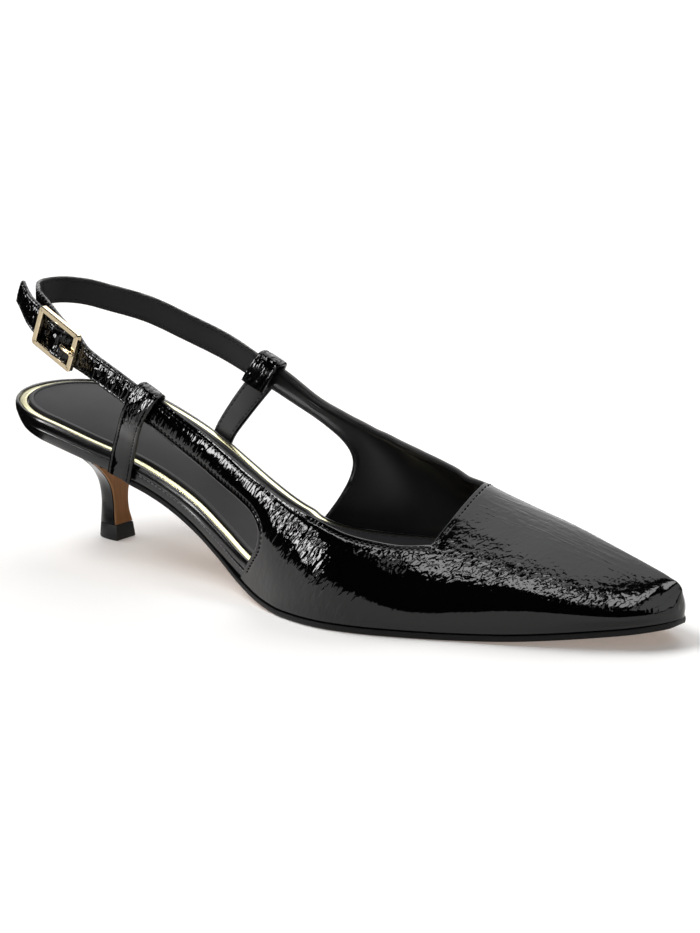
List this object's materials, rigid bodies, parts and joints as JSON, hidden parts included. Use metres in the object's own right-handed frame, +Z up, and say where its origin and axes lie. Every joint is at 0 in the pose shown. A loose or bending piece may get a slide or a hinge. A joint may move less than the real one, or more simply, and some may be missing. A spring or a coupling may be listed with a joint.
{
  "type": "pointed toe pump",
  "caption": "Slingback pump for a right foot, with a pointed and slightly snipped toe, open sides, a buckled heel strap and a flared kitten heel.",
  "frame": {"origin": "bottom centre of the box around the shoe, on the floor it stands on", "axes": "+X from heel to toe, +Y towards the inner side of the foot, +Z up"},
  "size_m": [0.2618, 0.0804, 0.0893],
  "materials": {
    "patent": "crinkled patent",
    "rand_patent": "smooth patent",
    "sock_satin": "satin",
    "gold_bead": "metallic foil",
    "sole_leather": "matte",
    "breast_leather": "satin",
    "heel_rubber": "matte",
    "gilt_metal": "polished"
  },
  "bodies": {
    "root": {"upper": "patent", "sling_strap": "patent", "buckle_strap": "patent", "stay_lateral": "patent", "stay_medial": "patent", "heel": "patent", "insole_rand": "rand_patent", "sock": "sock_satin", "gold_piping": "gold_bead", "outsole": "sole_leather", "heel_breast": "breast_leather", "top_piece": "heel_rubber", "buckle_frame": "gilt_metal", "buckle_prong": "gilt_metal"}
  },
  "joints": []
}
